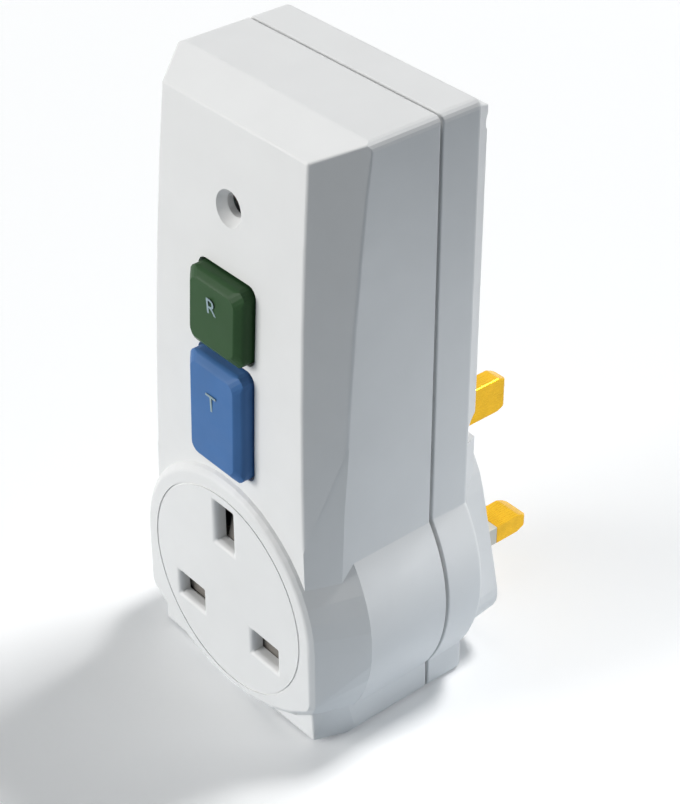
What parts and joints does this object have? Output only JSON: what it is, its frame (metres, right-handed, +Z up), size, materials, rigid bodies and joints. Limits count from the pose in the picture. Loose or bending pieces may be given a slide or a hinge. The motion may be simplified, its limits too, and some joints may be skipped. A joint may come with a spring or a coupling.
{
  "type": "rcd adapter plug",
  "caption": "Plug-in residual-current adapter: a bowed, tapered box with a raised shuttered socket face, test and reset buttons over a trip mechanism, an indicator and plug pins.",
  "frame": {"origin": "on the plug face, midway between the line and neutral pins", "axes": "+X right seen from the front, +Y towards the wall along the pins, +Z up"},
  "size_m": [0.0606, 0.0712, 0.1223],
  "materials": {
    "shell": "fine satin texture",
    "reset_cap": "smooth moulded green",
    "test_cap": "smooth moulded blue",
    "pin_brass": "polished",
    "contact_brass": "rolled strip",
    "sleeve": "moulded sleeve",
    "screw_steel": "zinc plated",
    "spring_steel": "drawn wire",
    "magnet_steel": "plated",
    "dark_moulding": "moulded",
    "pale_moulding": "moulded",
    "grey_moulding": "moulded",
    "board": "solder mask",
    "copper_wire": "enamelled copper turns",
    "core": "wound strip",
    "line_insulation": "extruded",
    "neutral_insulation": "extruded",
    "clear_lens": "clear moulding",
    "marker_red": "printed",
    "capacitor_sleeve": "sleeved can",
    "varistor_coat": "dipped",
    "resistor_coat": "lacquered"
  },
  "bodies": {
    "housing": {"front_housing": "shell", "rear_housing": "shell", "case_screws": "screw_steel", "chassis_screws": "screw_steel", "line_pin": "pin_brass", "neutral_pin": "pin_brass", "earth_pin": "pin_brass", "line_pin_sleeve": "sleeve", "neutral_pin_sleeve": "sleeve", "pin_clamp": "dark_moulding", "socket_contact_block": "dark_moulding", "line_socket_contact": "contact_brass", "neutral_socket_contact": "contact_brass", "earth_socket_contact": "contact_brass", "shutter_springs": "spring_steel", "circuit_board": "board", "mechanism_frame": "grey_moulding", "line_supply_contact": "contact_brass", "neutral_supply_contact": "contact_brass", "line_wire": "line_insulation", "neutral_wire": "neutral_insulation", "transformer_bush": "pale_moulding", "transformer_core": "core", "transformer_windings": "copper_wire", "solenoid_yoke": "magnet_steel", "solenoid_bobbin": "pale_moulding", "solenoid_winding": "copper_wire", "solenoid_stop": "magnet_steel", "plunger_spring": "spring_steel", "latch_pivot_pin": "magnet_steel", "reset_spring": "spring_steel", "test_leaf": "contact_brass", "test_contact_post": "contact_brass", "indicator_lens": "clear_lens", "smoothing_capacitor": "capacitor_sleeve", "varistor": "varistor_coat", "control_chip": "dark_moulding", "test_resistor": "resistor_coat"},
    "reset_button": {"reset_button": "reset_cap"},
    "test_button": {"test_button": "test_cap"},
    "socket_shutter": {"socket_shutter": "pale_moulding"},
    "trip_plunger": {"trip_plunger": "magnet_steel"},
    "latch_lever": {"latch_lever": "dark_moulding"},
    "carrier": {"contact_carrier": "pale_moulding", "line_bridge_contact": "contact_brass", "neutral_bridge_contact": "contact_brass"},
    "flag": {"indicator_flag": "dark_moulding", "flag_marker": "marker_red"}
  },
  "joints": [
    {"name": "reset_press", "type": "slide", "parent": "housing", "child": "reset_button", "axis": [0, 1, 0], "range_m": [0, 0.0029], "stiffness_N_per_m": 1200, "springref_m": -0.001, "deforming": ["reset_spring"]},
    {"name": "test_press", "type": "slide", "parent": "housing", "child": "test_button", "axis": [0, 1, 0], "range_m": [0, 0.0022], "stiffness_N_per_m": 900, "springref_m": -0.001, "deforming": ["test_leaf"]},
    {"name": "shutter_slide", "type": "slide", "parent": "housing", "child": "socket_shutter", "axis": [0, 0, -1], "range_m": [0, 0.006], "stiffness_N_per_m": 150, "springref_m": -0.004, "deforming": ["shutter_springs"]},
    {"name": "trip_pull", "type": "slide", "parent": "housing", "child": "trip_plunger", "axis": [0, 0, 1], "range_m": [0, 0.0016], "stiffness_N_per_m": 300, "springref_m": -0.001, "deforming": ["plunger_spring"]},
    {"name": "carrier_slide", "type": "slide", "parent": "housing", "child": "carrier", "axis": [0, 1, 0], "range_m": [0, 0.0029]},
    {"name": "flag_swing", "type": "hinge", "parent": "housing", "child": "flag", "pos_m": [0, -0.0351, 0.0794], "axis": [0, 1, 0], "range_deg": [0, 33.25]},
    {"name": "latch_swing", "type": "hinge", "parent": "housing", "child": "latch_lever", "pos_m": [0, -0.0176, 0.07805], "axis": [-1, 0, 0], "range_deg": [0, 16.95]}
  ],
  "couplings": [
    {"joint": "carrier_slide", "follows": "reset_press", "ratio": 1},
    {"joint": "flag_swing", "follows": "reset_press", "rad_per_m": 200},
    {"joint": "latch_swing", "follows": "trip_pull", "rad_per_m": 184.5}
  ]
}
